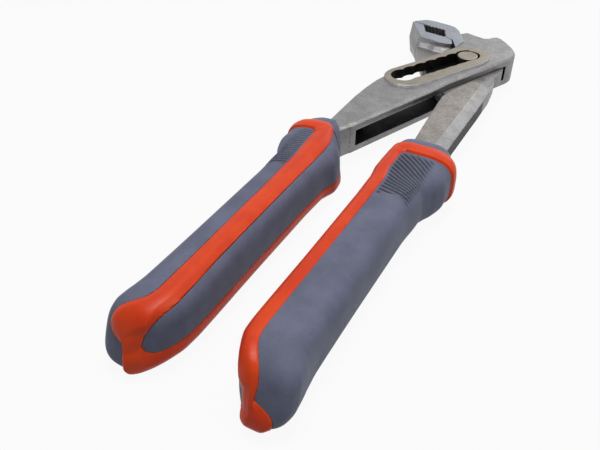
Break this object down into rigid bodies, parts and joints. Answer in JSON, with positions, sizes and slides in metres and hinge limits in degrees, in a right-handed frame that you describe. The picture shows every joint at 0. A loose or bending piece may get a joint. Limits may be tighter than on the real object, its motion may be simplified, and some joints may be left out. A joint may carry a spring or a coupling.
{
  "type": "water pump pliers",
  "caption": "Box-joint water pump pliers with toothed jaws, a scalloped setting slot and moulded two-colour grips.",
  "frame": {"origin": "centre of the pivot rivet's flat top face, at the first jaw setting", "axes": "+Z along the rivet's axis out of the top face, +Y along the handles to the jaws, +X to the side of the inner lever's handle"},
  "size_m": [0.0681, 0.2494, 0.021],
  "materials": {
    "forged_steel": "satin ground, slightly pitted drop forging",
    "rivet_steel": "ground flush with the boss",
    "orange_plastic": "semi-matt moulded",
    "grey_rubber": "matt soft-touch"
  },
  "bodies": {
    "outer_lever": {"outer_lever": "forged_steel", "outer_grip_core": "orange_plastic", "outer_grip_wrap": "grey_rubber", "outer_grip_pad": "grey_rubber", "outer_grip_collar": "grey_rubber"},
    "rivet": {"pivot_rivet": "rivet_steel"},
    "inner_lever": {"inner_lever": "forged_steel", "inner_grip_core": "orange_plastic", "inner_grip_wrap": "grey_rubber", "inner_grip_pad": "grey_rubber", "inner_grip_collar": "grey_rubber"}
  },
  "joints": [
    {"name": "jaw_setting", "type": "slide", "parent": "outer_lever", "child": "rivet", "axis": [-0.4772, -0.8788, 0], "range_m": [0, 0.01935]},
    {"name": "jaw_opening", "type": "hinge", "parent": "rivet", "child": "inner_lever", "pos_m": [0, 0, 0], "axis": [0, 0, 1], "range_deg": [0, 38]}
  ]
}
